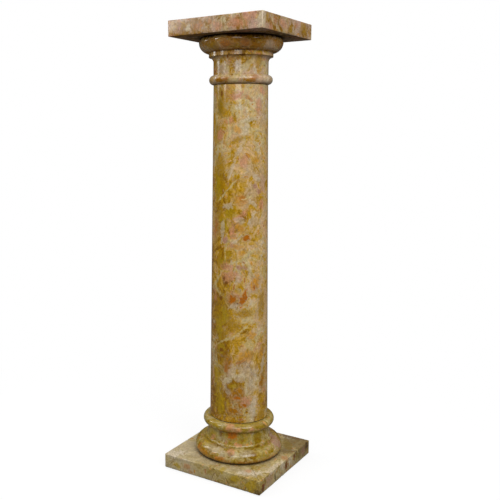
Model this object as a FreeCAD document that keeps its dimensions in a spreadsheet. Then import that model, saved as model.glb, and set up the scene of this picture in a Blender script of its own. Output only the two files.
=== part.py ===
import FreeCAD, Part
import math
import os
from enum import IntEnum
from types import SimpleNamespace

import Sketcher

# Pedestal column stand of polished breccia marble.
#
# Every stone is turned or sawn by itself and bored along its axis.  They stand
# on one another with thin dark joint discs between them, and one steel rod with
# a nut at each end draws the column together.  The square top slab is loose: it
# lies on a brass glide ring and turns about a short steel sleeve at the rod's
# upper end.
#
# Lengths are millimetres.  The origin is the middle of the foot, on the floor,
# with +Z up.  The front of the plinth faces -Y.

DOCUMENT_NAME = "pedestal_column_stand"
SHEET_NAME = "Sizes"
OUTPUT_FOLDER = "parts"

DRIVING_SIZES = {
    # the foot
    "felt_thickness": 2.0,
    "felt_inset": 5.0,
    "felt_hole_margin": 4.0,
    "plinth_width": 253.0,
    "plinth_height": 33.0,
    "plinth_arris": 2.0,
    # the turned base: a large torus, a small rounded lip, a cove and a collar
    "base_torus_radius": 102.3,
    "base_torus_rise": 11.3,
    "base_torus_fall": 19.2,
    "base_contact_setback": 7.3,
    "base_torus_top_setback": 16.1,
    "base_lip_setback": 6.2,
    "base_lip_foot_height": 1.0,
    "base_lip_projection": 4.5,
    "base_lip_height": 6.0,
    "base_cove_depth": 4.7,
    "base_cove_height": 28.0,
    "base_collar_radius": 83.2,
    "base_collar_projection": 10.0,
    "base_collar_height": 20.5,
    # the tapered shaft
    "shaft_height": 759.0,
    "shaft_foot_radius": 67.7,
    "shaft_head_radius": 60.4,
    "shaft_arris": 0.8,
    # the turned capital: a ring, a neck, a flare, a fillet and an ovolo
    "capital_neck_radius": 60.7,
    "capital_ring_projection": 9.5,
    "capital_ring_height": 20.0,
    "capital_neck_height": 27.8,
    "capital_flare_projection": 10.2,
    "capital_flare_height": 11.2,
    "capital_fillet_height": 8.5,
    "capital_ovolo_projection": 21.6,
    "capital_ovolo_height": 22.5,
    "capital_lip_setback": 2.0,
    "capital_lip_height": 7.5,
    # the turning top
    "slab_width": 230.0,
    "slab_height": 33.5,
    "slab_arris": 1.5,
    "glide_thickness": 2.0,
    "glide_setback": 7.0,
    "glide_band": 25.0,
    # the thin discs in the joints between the stones
    "joint_thickness": 1.0,
    "joint_recess": 1.5,
    "joint_bore_margin": 3.0,
    # the rod and its fixings
    "rod_radius": 6.0,
    "rod_chamfer": 1.5,
    "rod_projection": 3.0,
    "rod_end_gap": 2.2,
    "rod_side_room": 3.5,
    "thread_gap": 0.05,
    "nut_across_flats": 19.0,
    "nut_height": 10.8,
    "nut_chamfer": 1.0,
    "nut_chamfer_rise": 0.6,
    "washer_radius": 18.0,
    "washer_play": 0.5,
    "washer_thickness": 3.0,
    "spring_band": 4.6,
    "spring_play": 0.2,
    "spring_thickness": 2.5,
    "spring_gap_degrees": 12.0,
    "recess_side_room": 5.0,
    "foot_recess_headroom": 2.7,
    "head_recess_depth": 24.0,
    # the pivot of the top
    "sleeve_wall": 2.0,
    "sleeve_chamfer": 1.0,
    "sleeve_roof": 5.5,
    "sleeve_shortfall": 1.5,
    "pivot_gap": 0.05,
    "bush_wall": 4.0,
    "bush_length": 20.0,
    "bush_setback": 0.5,
    "bush_bedding": 0.15,
    "bush_roof_gap": 0.5,
}

HEXAGON_SIDES = 6
HEXAGON_CORNER_TO_FLAT = math.cos(math.pi / HEXAGON_SIDES)
LENGTH_TOLERANCE = 1e-6
VOLUME_TOLERANCE = 1e-3


class Axis(IntEnum):
    """The numbers that a sketch gives its own two axes."""

    HORIZONTAL = -1
    VERTICAL = -2


class Spot(IntEnum):
    """The numbers that a sketch gives the named points of a curve."""

    START = 1
    END = 2
    CENTRE = 3


START, END, CENTRE = Spot
ORIGIN_POINT = (Axis.HORIZONTAL, START)


class Size:
    """A length held twice: as the sheet formula that drives it, and as today's number."""

    def __init__(self, formula, number):
        self.formula = formula
        self.number = number

    def combine(self, sign, other, number):
        right = other.formula if isinstance(other, Size) else repr(other)
        return Size(f"({self.formula} {sign} {right})", number)

    def __add__(self, other):
        return self.combine("+", other, self.number + other.number)

    def __sub__(self, other):
        return self.combine("-", other, self.number - other.number)

    def __mul__(self, factor):
        return self.combine("*", factor, self.number * factor)

    def __truediv__(self, divisor):
        return self.combine("/", divisor, self.number / divisor)


NOTHING = Size("0", 0.0)
FULL_TURN = Size("360", 360.0)

doc = FreeCAD.newDocument(DOCUMENT_NAME)


def make_sheet():
    """Write the driving sizes into the sheet and hand them back as Size values."""
    sheet = doc.addObject("Spreadsheet::Sheet", SHEET_NAME)
    sizes = {}
    for row, (name, value) in enumerate(DRIVING_SIZES.items(), start=1):
        sheet.set(f"A{row}", name)
        sheet.set(f"B{row}", str(value))
        sheet.setAlias(f"B{row}", name)
        sizes[name] = Size(f"{SHEET_NAME}.{name}", value)
    doc.recompute()
    return SimpleNamespace(**sizes)


size = make_sheet()


# ---------------------------------------------------------------- drawing aids

def bind(thing, path, length):
    """Let a sheet formula drive one property of an object."""
    thing.setExpression(path, length.formula)


def new_body(name, seat):
    """Start a sub-part whose own zero level stands at the height called seat."""
    body = doc.addObject("PartDesign::Body", name)
    body.Label = name
    bind(body, "Placement.Base.z", seat)
    return body


def new_sketch(body, purpose, plane_role):
    """Open a sketch on one of the body's own origin planes."""
    sketch = body.newObject("Sketcher::SketchObject", f"{body.Name}_{purpose}")
    plane = next(item for item in body.Origin.OriginFeatures if item.Role == plane_role)
    sketch.AttachmentSupport = [(plane, "")]
    sketch.MapMode = "FlatFace"
    return sketch


def constrain(sketch, kind, *places, length=None):
    """Add one constraint, driven by the sheet where it has a length."""
    if length is None:
        sketch.addConstraint(Sketcher.Constraint(kind, *places))
        return
    index = sketch.addConstraint(Sketcher.Constraint(kind, *places, length.number))
    bind(sketch, f"Constraints[{index}]", length)


def pin_point(sketch, curve, end, radius, level):
    """Hold one end of a curve at a radius and a level above the body's zero."""
    if radius is NOTHING:
        constrain(sketch, "PointOnObject", curve, end, Axis.VERTICAL)
    else:
        constrain(sketch, "DistanceX", *ORIGIN_POINT, curve, end, length=radius)
    if level is NOTHING:
        constrain(sketch, "PointOnObject", curve, end, Axis.HORIZONTAL)
    else:
        constrain(sketch, "DistanceY", *ORIGIN_POINT, curve, end, length=level)


def point(corner):
    """Give a profile corner as a point of the sketch."""
    return FreeCAD.Vector(corner.radius.number, corner.level.number, 0)


def corner(radius, level, upright=None):
    """One corner of a turned profile.

    upright says that a round stretch leads here from the corner before, and at
    which of its two ends, START or END, that round stretch stands upright.
    """
    return SimpleNamespace(radius=radius, level=level, upright=upright)


def add_arc(sketch, first, last):
    """Draw the round stretch that leads from corner first to corner last."""
    start, finish = point(first), point(last)
    level = start.y if last.upright == START else finish.y
    rise_start, rise_finish = start.y - level, finish.y - level
    span = (start.x ** 2 + rise_start ** 2) - (finish.x ** 2 + rise_finish ** 2)
    middle = FreeCAD.Vector(span / (2 * (start.x - finish.x)), level, 0)
    angles = [math.atan2(end.y - middle.y, end.x - middle.x) for end in (start, finish)]
    forward = (angles[1] - angles[0]) % (2 * math.pi) < math.pi
    if not forward:
        angles.reverse()
    circle = Part.Circle(middle, FreeCAD.Vector(0, 0, 1), (start - middle).Length)
    curve = sketch.addGeometry(Part.ArcOfCircle(circle, angles[0], angles[1]), False)
    ends = (START, END) if forward else (END, START)
    upright_end = ends[0] if last.upright == START else ends[1]
    constrain(sketch, "Horizontal", curve, CENTRE, curve, upright_end)
    return curve, ends


def add_line(sketch, first, last):
    """Draw the straight stretch from corner first to corner last."""
    curve = sketch.addGeometry(Part.LineSegment(point(first), point(last)), False)
    return curve, (START, END)


def draw_profile(sketch, corners):
    """Draw a closed profile through the corners, each one held by the sheet."""
    stretches = []
    for index, last in enumerate(corners):
        first = corners[index - 1]
        draw = add_line if last.upright is None else add_arc
        curve, ends = draw(sketch, first, last)
        pin_point(sketch, curve, ends[1], last.radius, last.level)
        stretches.append((curve, ends))
    for index, (curve, ends) in enumerate(stretches):
        before, before_ends = stretches[index - 1]
        constrain(sketch, "Coincident", before, before_ends[1], curve, ends[0])


def turn(body, corners, wrap=None):
    """Turn a closed profile about the body's own axis, all the way without a wrap."""
    sketch = new_sketch(body, "profile", "XZ_Plane")
    draw_profile(sketch, corners)
    turned = body.newObject("PartDesign::Revolution", f"{body.Name}_turned")
    turned.Profile = sketch
    turned.ReferenceAxis = (sketch, ["V_Axis"])
    bind(turned, "Angle", wrap or FULL_TURN)
    doc.recompute()
    return turned


def draw_square(sketch, width):
    """Draw a square of the given width about the middle."""
    half = width.number / 2
    spots = [(-half, -half), (half, -half), (half, half), (-half, half)]
    points = [FreeCAD.Vector(x, y, 0) for x, y in spots]
    sides = [
        sketch.addGeometry(Part.LineSegment(points[index - 1], end), False)
        for index, end in enumerate(points)
    ]
    left, front, right, back = sides
    for index, side in enumerate(sides):
        constrain(sketch, "Coincident", sides[index - 1], END, side, START)
    for side in (front, back):
        constrain(sketch, "Horizontal", side)
    for side in (left, right):
        constrain(sketch, "Vertical", side)
    constrain(sketch, "Symmetric", front, START, right, END, *ORIGIN_POINT)
    constrain(sketch, "DistanceX", front, START, front, END, length=width)
    constrain(sketch, "DistanceY", right, START, right, END, length=width)


def draw_circle(sketch, radius):
    """Draw a circle about the middle."""
    circle = Part.Circle(FreeCAD.Vector(0, 0, 0), FreeCAD.Vector(0, 0, 1), radius.number)
    curve = sketch.addGeometry(circle, False)
    constrain(sketch, "Coincident", curve, CENTRE, *ORIGIN_POINT)
    constrain(sketch, "Radius", curve, length=radius)


def draw_hexagon(sketch, corner_radius):
    """Draw a regular hexagon about the middle, with one corner on the X axis."""
    circle = Part.Circle(
        FreeCAD.Vector(0, 0, 0), FreeCAD.Vector(0, 0, 1), corner_radius.number
    )
    guide = sketch.addGeometry(circle, True)
    constrain(sketch, "Coincident", guide, CENTRE, *ORIGIN_POINT)
    constrain(sketch, "Radius", guide, length=corner_radius)
    turns = [2 * math.pi * index / HEXAGON_SIDES for index in range(HEXAGON_SIDES)]
    corners = [
        FreeCAD.Vector(math.cos(angle), math.sin(angle), 0) * corner_radius.number
        for angle in turns
    ]
    sides = [
        sketch.addGeometry(Part.LineSegment(corners[index - 1], end), False)
        for index, end in enumerate(corners)
    ]
    for index, side in enumerate(sides):
        constrain(sketch, "Coincident", sides[index - 1], END, side, START)
        constrain(sketch, "PointOnObject", side, END, guide)
    for side in sides[1:]:
        constrain(sketch, "Equal", sides[0], side)
    constrain(sketch, "PointOnObject", sides[0], END, Axis.HORIZONTAL)


def pad(body, sketch, height):
    """Raise a sketch from the body's zero level."""
    block = body.newObject("PartDesign::Pad", f"{body.Name}_block")
    block.Profile = sketch
    bind(block, "Length", height)
    doc.recompute()
    return block


def sink_pocket(body, sketch, purpose, depth=None):
    """Cut a sketch upwards from the body's zero level, right through without a depth."""
    before = body.Shape.Volume
    pocket = body.newObject("PartDesign::Pocket", f"{body.Name}_{purpose}")
    pocket.Profile = sketch
    pocket.Reversed = True
    if depth is None:
        pocket.Type = "ThroughAll"
    else:
        bind(pocket, "Length", depth)
    doc.recompute()
    if before - body.Shape.Volume < VOLUME_TOLERANCE:
        raise RuntimeError(f"{pocket.Name} cuts nothing")
    return pocket


def sink_round_pocket(body, purpose, radius, depth=None):
    """Cut a round hole or recess upwards from the body's zero level."""
    sketch = new_sketch(body, f"{purpose}_outline", "XY_Plane")
    draw_circle(sketch, radius)
    return sink_pocket(body, sketch, purpose, depth)


def soften_edges(body, feature, purpose, radius, wanted):
    """Round the edges of a feature that the test called wanted picks out."""
    names = [
        f"Edge{index}"
        for index, edge in enumerate(feature.Shape.Edges, start=1)
        if wanted(edge)
    ]
    if not names:
        raise RuntimeError(f"{body.Name} has no edge to soften")
    rounding = body.newObject("PartDesign::Fillet", f"{body.Name}_{purpose}")
    rounding.Base = (feature, names)
    bind(rounding, "Radius", radius)
    doc.recompute()
    return rounding


def is_straight(edge):
    return isinstance(edge.Curve, Part.Line)


def is_ring_of(radii):
    """Make a test that picks the full circles whose radius is one of radii."""
    def test(edge):
        if not isinstance(edge.Curve, Part.Circle):
            return False
        return any(
            abs(edge.Curve.Radius - radius.number) < LENGTH_TOLERANCE for radius in radii
        )
    return test


# ---------------------------------------------------- sizes that follow the others

base_torus_height = size.base_torus_rise + size.base_torus_fall
base_contact_radius = size.base_torus_radius - size.base_contact_setback
base_lip_level = base_torus_height + size.base_lip_foot_height
base_cove_level = base_lip_level + size.base_lip_height
base_waist_level = base_cove_level + size.base_cove_height
base_height = base_waist_level + size.base_collar_height

capital_neck_top = size.capital_ring_height + size.capital_neck_height
capital_flare_top = capital_neck_top + size.capital_flare_height
capital_fillet_top = capital_flare_top + size.capital_fillet_height
capital_ovolo_top = capital_fillet_top + size.capital_ovolo_height
capital_height = capital_ovolo_top + size.capital_lip_height

stone_bore_radius = size.rod_radius + size.rod_side_room
thread_radius = size.rod_radius + size.thread_gap
sleeve_radius = size.rod_radius + size.sleeve_wall
bush_radius = sleeve_radius + size.bush_wall
recess_radius = size.washer_radius + size.recess_side_room
glide_inner_radius = recess_radius + size.glide_setback

fixing_height = size.washer_thickness + size.spring_thickness + size.nut_height
foot_recess_depth = fixing_height + size.rod_projection + size.foot_recess_headroom
bush_socket_depth = size.bush_setback + size.bush_length + size.bush_roof_gap

# the order upwards, each seat a level above the floor
plinth_seat = size.felt_thickness
plinth_top = plinth_seat + size.plinth_height
base_seat = plinth_top + size.joint_thickness
base_top = base_seat + base_height
shaft_seat = base_top + size.joint_thickness
shaft_top = shaft_seat + size.shaft_height
capital_seat = shaft_top + size.joint_thickness
capital_top = capital_seat + capital_height
slab_seat = capital_top + size.glide_thickness

foot_washer_seat = plinth_seat + foot_recess_depth - size.washer_thickness
foot_spring_seat = foot_washer_seat - size.spring_thickness
foot_nut_seat = foot_spring_seat - size.nut_height
rod_foot = foot_nut_seat - size.rod_projection

head_washer_seat = capital_top - size.head_recess_depth
head_spring_seat = head_washer_seat + size.washer_thickness
head_nut_seat = head_spring_seat + size.spring_thickness
sleeve_seat = head_nut_seat + size.nut_height

bush_seat = slab_seat + size.bush_setback
sleeve_top = bush_seat + size.bush_length - size.sleeve_shortfall
rod_head = sleeve_top - size.sleeve_roof - size.rod_end_gap


# ------------------------------------------------------------------- the stones

def make_plinth():
    """The square foot stone, recessed below for the rod's lower nut."""
    body = new_body("plinth", plinth_seat)
    sketch = new_sketch(body, "outline", "XY_Plane")
    draw_square(sketch, size.plinth_width)
    block = pad(body, sketch, size.plinth_height)
    soften_edges(body, block, "arris", size.plinth_arris, is_straight)
    sink_round_pocket(body, "rod_bore", stone_bore_radius)
    sink_round_pocket(body, "nut_recess", recess_radius, foot_recess_depth)
    return body


def make_base_moulding():
    """The turned base between the plinth and the shaft."""
    torus_top_radius = size.base_torus_radius - size.base_torus_top_setback
    lip_radius = torus_top_radius - size.base_lip_setback
    cove_radius = lip_radius - size.base_lip_projection
    waist_radius = cove_radius - size.base_cove_depth
    collar_seat_radius = size.base_collar_radius - size.base_collar_projection
    collar_widest = base_waist_level + size.base_collar_height / 2
    corners = [
        corner(stone_bore_radius, NOTHING),
        corner(base_contact_radius, NOTHING),
        corner(size.base_torus_radius, size.base_torus_rise, END),
        corner(torus_top_radius, base_torus_height, START),
        corner(lip_radius, base_torus_height),
        corner(lip_radius, base_lip_level),
        corner(cove_radius, base_cove_level, START),
        corner(waist_radius, base_waist_level, END),
        corner(collar_seat_radius, base_waist_level),
        corner(size.base_collar_radius, collar_widest, END),
        corner(collar_seat_radius, base_height, START),
        corner(stone_bore_radius, base_height),
    ]
    body = new_body("base_moulding", base_seat)
    turn(body, corners)
    return body


def make_shaft():
    """The tapered shaft, bored from end to end."""
    corners = [
        corner(stone_bore_radius, NOTHING),
        corner(size.shaft_foot_radius, NOTHING),
        corner(size.shaft_head_radius, size.shaft_height),
        corner(stone_bore_radius, size.shaft_height),
    ]
    body = new_body("shaft", shaft_seat)
    turned = turn(body, corners)
    ends = is_ring_of([size.shaft_foot_radius, size.shaft_head_radius])
    soften_edges(body, turned, "arris", size.shaft_arris, ends)
    return body


def make_capital():
    """The turned capital, with the recess for the rod's upper nut in its top."""
    ring_radius = size.capital_neck_radius + size.capital_ring_projection
    fillet_radius = size.capital_neck_radius + size.capital_flare_projection
    ovolo_radius = fillet_radius + size.capital_ovolo_projection
    lip_radius = ovolo_radius - size.capital_lip_setback
    recess_floor = capital_height - size.head_recess_depth
    corners = [
        corner(stone_bore_radius, NOTHING),
        corner(size.capital_neck_radius, NOTHING),
        corner(ring_radius, size.capital_ring_height / 2, END),
        corner(size.capital_neck_radius, size.capital_ring_height, START),
        corner(size.capital_neck_radius, capital_neck_top),
        corner(fillet_radius, capital_flare_top, START),
        corner(fillet_radius, capital_fillet_top),
        corner(ovolo_radius, capital_ovolo_top, END),
        corner(lip_radius, capital_height, START),
        corner(recess_radius, capital_height),
        corner(recess_radius, recess_floor),
        corner(stone_bore_radius, recess_floor),
    ]
    body = new_body("capital", capital_seat)
    turn(body, corners)
    return body


def make_top_slab():
    """The square slab that turns, with the socket for its bush underneath."""
    body = new_body("top_slab", slab_seat)
    sketch = new_sketch(body, "outline", "XY_Plane")
    draw_square(sketch, size.slab_width)
    block = pad(body, sketch, size.slab_height)
    soften_edges(body, block, "arris", size.slab_arris, is_straight)
    sink_round_pocket(body, "bush_socket", bush_radius + size.bush_bedding, bush_socket_depth)
    return body


# --------------------------------------------------- flat rings, discs and the felt

def make_ring(name, seat, inner_radius, outer_radius, thickness, wrap=None):
    """A flat ring about the axis; a wrap short of a full turn leaves it split."""
    corners = [
        corner(inner_radius, NOTHING),
        corner(outer_radius, NOTHING),
        corner(outer_radius, thickness),
        corner(inner_radius, thickness),
    ]
    body = new_body(name, seat)
    turn(body, corners, wrap)
    return body


def make_joint_disc(name, seat, stone_radius):
    """The dark disc in a joint, held back from the face of the smaller stone."""
    inner_radius = stone_bore_radius + size.joint_bore_margin
    outer_radius = stone_radius - size.joint_recess
    return make_ring(name, seat, inner_radius, outer_radius, size.joint_thickness)


def make_base_felt():
    """The felt sheet under the plinth, cut out below the nut recess."""
    body = new_body("base_felt", NOTHING)
    sketch = new_sketch(body, "outline", "XY_Plane")
    draw_square(sketch, size.plinth_width - size.felt_inset * 2)
    pad(body, sketch, size.felt_thickness)
    sink_round_pocket(body, "nut_opening", recess_radius + size.felt_hole_margin)
    return body


def make_glide_ring():
    """The brass ring on the capital that the slab slides on."""
    outer_radius = glide_inner_radius + size.glide_band
    return make_ring(
        "glide_ring", capital_top, glide_inner_radius, outer_radius, size.glide_thickness
    )


# ----------------------------------------------------------- the rod and fixings

def make_tie_rod():
    """The steel rod through the whole column, chamfered at both ends."""
    length = rod_head - rod_foot
    end_radius = size.rod_radius - size.rod_chamfer
    corners = [
        corner(NOTHING, NOTHING),
        corner(end_radius, NOTHING),
        corner(size.rod_radius, size.rod_chamfer),
        corner(size.rod_radius, length - size.rod_chamfer),
        corner(end_radius, length),
        corner(NOTHING, length),
    ]
    body = new_body("tie_rod", rod_foot)
    turn(body, corners)
    return body


def make_nut(name, seat):
    """A hexagon nut with its corners turned away at both faces."""
    corner_radius = size.nut_across_flats / (2 * HEXAGON_CORNER_TO_FLAT)
    face_radius = corner_radius - size.nut_chamfer
    corners = [
        corner(thread_radius, NOTHING),
        corner(face_radius, NOTHING),
        corner(corner_radius, size.nut_chamfer_rise),
        corner(corner_radius, size.nut_height - size.nut_chamfer_rise),
        corner(face_radius, size.nut_height),
        corner(thread_radius, size.nut_height),
    ]
    body = new_body(name, seat)
    turn(body, corners)
    sketch = new_sketch(body, "flats_outline", "XY_Plane")
    draw_circle(sketch, corner_radius * 2)
    draw_hexagon(sketch, corner_radius)
    sink_pocket(body, sketch, "flats")
    return body


def make_washer(name, seat):
    """A plain broad washer."""
    bore_radius = size.rod_radius + size.washer_play
    return make_ring(name, seat, bore_radius, size.washer_radius, size.washer_thickness)


def make_spring_washer(name, seat):
    """A split spring washer, pressed flat."""
    bore_radius = size.rod_radius + size.spring_play
    outer_radius = size.rod_radius + size.spring_band
    wrap = FULL_TURN - size.spring_gap_degrees
    return make_ring(name, seat, bore_radius, outer_radius, size.spring_thickness, wrap)


# --------------------------------------------------------- the pivot of the top

def make_pivot_sleeve():
    """The steel sleeve screwed onto the rod's upper end, on which the top turns."""
    length = sleeve_top - sleeve_seat
    roof = length - size.sleeve_roof
    corners = [
        corner(thread_radius, NOTHING),
        corner(sleeve_radius, NOTHING),
        corner(sleeve_radius, length - size.sleeve_chamfer),
        corner(sleeve_radius - size.sleeve_chamfer, length),
        corner(NOTHING, length),
        corner(NOTHING, roof),
        corner(thread_radius, roof),
    ]
    body = new_body("pivot_sleeve", sleeve_seat)
    turn(body, corners)
    return body


def make_pivot_bush():
    """The brass bush bedded in the slab, which turns round the sleeve."""
    bore_radius = sleeve_radius + size.pivot_gap
    return make_ring("pivot_bush", bush_seat, bore_radius, bush_radius, size.bush_length)


# ------------------------------------------------------------------ the assembly

sub_parts = [
    make_base_felt(),
    make_plinth(),
    make_joint_disc("plinth_gasket", plinth_top, base_contact_radius),
    make_base_moulding(),
    make_joint_disc("base_gasket", base_top, size.shaft_foot_radius),
    make_shaft(),
    make_joint_disc("shaft_gasket", shaft_top, size.shaft_head_radius),
    make_capital(),
    make_glide_ring(),
    make_top_slab(),
    make_tie_rod(),
    make_washer("lower_washer", foot_washer_seat),
    make_spring_washer("lower_spring_washer", foot_spring_seat),
    make_nut("lower_nut", foot_nut_seat),
    make_washer("upper_washer", head_washer_seat),
    make_spring_washer("upper_spring_washer", head_spring_seat),
    make_nut("upper_nut", head_nut_seat),
    make_pivot_sleeve(),
    make_pivot_bush(),
]

doc.recompute()


def check_document():
    """Stop if any object failed or any sub-part has no sound solid."""
    for item in doc.Objects:
        if "Invalid" in item.State or "Error" in item.State:
            raise RuntimeError(f"{item.Name} failed: {item.State}")
    for part in sub_parts:
        if part.Shape.isNull() or not part.Shape.isValid() or not part.Shape.Solids:
            raise RuntimeError(f"{part.Label} has no sound solid")


def write_parts():
    """Write each sub-part to a file of its own, named after it."""
    os.makedirs(OUTPUT_FOLDER, exist_ok=True)
    for part in sub_parts:
        part.Shape.exportStep(f"{OUTPUT_FOLDER}/{part.Label}.step")


check_document()
write_parts()
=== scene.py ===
import math

import bmesh
import bpy
from mathutils import Matrix, Vector, noise


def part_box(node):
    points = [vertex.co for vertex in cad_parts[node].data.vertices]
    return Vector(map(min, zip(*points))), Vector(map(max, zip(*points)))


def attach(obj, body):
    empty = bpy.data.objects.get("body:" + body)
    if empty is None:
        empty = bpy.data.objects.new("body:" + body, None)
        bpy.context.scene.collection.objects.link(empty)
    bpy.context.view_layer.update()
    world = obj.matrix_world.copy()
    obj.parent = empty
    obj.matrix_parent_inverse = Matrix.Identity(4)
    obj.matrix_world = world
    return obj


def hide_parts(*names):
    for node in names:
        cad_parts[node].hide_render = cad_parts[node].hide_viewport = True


# Looks of the pedestal column stand: five polished breccia marble stones as
# dense turned and sawn meshes, the discs in their joints, the rod with its
# fixings, the pivot of the turning top, and a plain studio round them.

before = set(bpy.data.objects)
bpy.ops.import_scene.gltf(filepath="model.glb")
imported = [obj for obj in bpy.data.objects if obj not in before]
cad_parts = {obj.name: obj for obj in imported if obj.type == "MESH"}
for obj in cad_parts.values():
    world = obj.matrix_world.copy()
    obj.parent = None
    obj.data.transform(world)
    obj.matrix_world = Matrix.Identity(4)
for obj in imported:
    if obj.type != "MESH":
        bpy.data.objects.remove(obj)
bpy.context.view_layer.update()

MM = 0.001

# --------------------------------------------------- mesh making

TURN_SEGMENTS = 288
ARC_STEP = math.radians(5.0)
SMOOTH_ANGLE = math.radians(32.0)

# The end of an arc of a profile that stands plumb: its last one or its first one.
HEAD, FOOT = "head", "foot"

# How finely the upright corners and the arrises of the sawn stones are divided.
SAWN_CORNER = 2.2 * MM
SAWN_SPACING = 1.6 * MM
CORNER_STEPS = 6
ARRIS_STEPS = 5

# The wear of an arris: waves to the metre, and how much of it each part takes.
SLOW_WAVES = 23.0
QUICK_WAVES = 160.0
EVEN_WEAR = 0.25
SLOW_WEAR = 0.3
CHIP_LEVEL = 0.33
CHIP_GAIN = 2.2


def corner(radius, level, upright=None):
    """A profile corner in millimetres; upright names the end of an arc that stands plumb."""
    return (radius, level, upright)


def arc_points(first, last):
    """The points of the round stretch between two corners, without its first one."""
    (r0, z0, _), (r1, z1, upright) = first, last
    level = z0 if upright == FOOT else z1
    span = (r0 ** 2 + (z0 - level) ** 2) - (r1 ** 2 + (z1 - level) ** 2)
    middle = span / (2 * (r0 - r1))
    radius = math.hypot(r0 - middle, z0 - level)
    start = math.atan2(z0 - level, r0 - middle)
    sweep = math.atan2(z1 - level, r1 - middle) - start
    sweep = (sweep + math.pi) % (2 * math.pi) - math.pi
    steps = max(2, math.ceil(abs(sweep) / ARC_STEP))
    angles = [start + sweep * step / steps for step in range(1, steps + 1)]
    return [(middle + radius * math.cos(a), level + radius * math.sin(a)) for a in angles]


def profile_points(corners):
    """Trace a closed profile through its corners, with the arcs divided finely."""
    points = []
    for index, last in enumerate(corners):
        if last[2] is None:
            points.append(last[:2])
        else:
            points.extend(arc_points(corners[index - 1], last))
    return points


def ring_faces(rings, count, looped):
    """The faces between rings of so many points each.

    The last ring runs on into the first one, or, if not looped, the first and the
    last ring are each closed by a flat face.
    """
    faces = []
    for upper in range(0 if looped else 1, rings):
        lower = (upper - 1) % rings
        for index in range(count):
            before = (index - 1) % count
            faces.append((
                lower * count + before,
                lower * count + index,
                upper * count + index,
                upper * count + before,
            ))
    if not looped:
        total = rings * count
        faces.append(tuple(range(count)))
        faces.append(tuple(range(total - count, total)))
    return faces


def mesh_of_rings(name, rings, looped=True):
    """Join rings of points into one smooth solid, with its faces turned outward."""
    vertices = [spot for ring in rings for spot in ring]
    mesh = bpy.data.meshes.new(name)
    mesh.from_pydata(vertices, [], ring_faces(len(rings), len(rings[0]), looped))
    tidy = bmesh.new()
    tidy.from_mesh(mesh)
    bmesh.ops.recalc_face_normals(tidy, faces=tidy.faces)
    tidy.to_mesh(mesh)
    tidy.free()
    mesh.shade_smooth()
    mesh.set_sharp_from_angle(angle=SMOOTH_ANGLE)
    piece = bpy.data.objects.new(name, mesh)
    bpy.context.scene.collection.objects.link(piece)
    return piece


def turn(name, seat, corners):
    """Turn a profile, in millimetres above the seat, into a solid about the axis."""
    turns = [2 * math.pi * index / TURN_SEGMENTS for index in range(TURN_SEGMENTS)]
    rings = [
        [
            Vector((radius * MM * math.cos(a), radius * MM * math.sin(a), seat + level * MM))
            for a in turns
        ]
        for radius, level in profile_points(corners)
    ]
    return mesh_of_rings(name, rings)


def rounded_square(half):
    """Walk round a square with rounded corners: points in order, in metres."""
    walk = []
    straight = half - SAWN_CORNER
    along = max(2, round(2 * straight / SAWN_SPACING))
    for side in range(4):
        turned = Matrix.Rotation(side * math.pi / 2, 3, "Z")
        for step in range(along):
            walk.append(turned @ Vector((half, -straight + 2 * straight * step / along, 0)))
        for step in range(CORNER_STEPS):
            angle = math.pi / 2 * step / CORNER_STEPS
            walk.append(turned @ Vector((
                straight + SAWN_CORNER * math.cos(angle),
                straight + SAWN_CORNER * math.sin(angle),
                0,
            )))
    return walk


def inset_walk(walk, half, inset):
    """Draw the walk in by an inset that may differ from point to point."""
    straight = half - SAWN_CORNER
    drawn = []
    for spot, amount in zip(walk, inset):
        core = Vector((
            max(-straight, min(straight, spot.x)),
            max(-straight, min(straight, spot.y)),
            0,
        ))
        outward = (spot - core).normalized()
        drawn.append(spot - outward * amount)
    return drawn


def wear(spot, seed, least, most):
    """How far an arris is worn back at a spot, in metres."""
    slow = noise.noise(spot * SLOW_WAVES + Vector((seed, 0, 0)))
    quick = noise.noise(spot * QUICK_WAVES + Vector((0, seed, 0)))
    chip = max(0.0, quick - CHIP_LEVEL) * CHIP_GAIN
    share = min(1.0, max(0.0, EVEN_WEAR + SLOW_WEAR * slow + chip))
    return least + (most - least) * share


def sawn_rings(low, high, arris, seed):
    """The rings of a square stone with worn arrises, from its underside to its top."""
    half = (high.x - low.x) / 2
    least, most = arris
    walk = rounded_square(half)
    rising = range(ARRIS_STEPS + 1)
    rings = []
    for level, inward, order in ((low.z, 1, rising), (high.z, -1, reversed(rising))):
        worn = [wear(spot + Vector((0, 0, level)), seed, least, most) for spot in walk]
        for step in order:
            angle = math.pi / 2 * step / ARRIS_STEPS
            inset = [amount * (1 - math.sin(angle)) for amount in worn]
            drawn = inset_walk(walk, half, inset)
            rings.append([
                Vector((spot.x, spot.y, level + inward * amount * (1 - math.cos(angle))))
                for spot, amount in zip(drawn, worn)
            ])
    return rings


def round_rings(pattern, holes):
    """Rings for round holes, with their points at the pattern ring's bearings."""
    bearings = [math.atan2(spot.y, spot.x) for spot in pattern]
    return [
        [Vector((radius * math.cos(b), radius * math.sin(b), level)) for b in bearings]
        for radius, level in holes
    ]


# ----------------------------------------------- material making

def paint(red, green, blue):
    """A colour as the screen shows it, out of 255, made linear by the screen's own curve."""
    parts = []
    for value in (red, green, blue):
        share = value / 255
        parts.append(share / 12.92 if share <= 0.04045 else ((share + 0.055) / 1.055) ** 2.4)
    return (*parts, 1.0)


SHIFT_ROUGHNESS = 0.6


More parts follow.
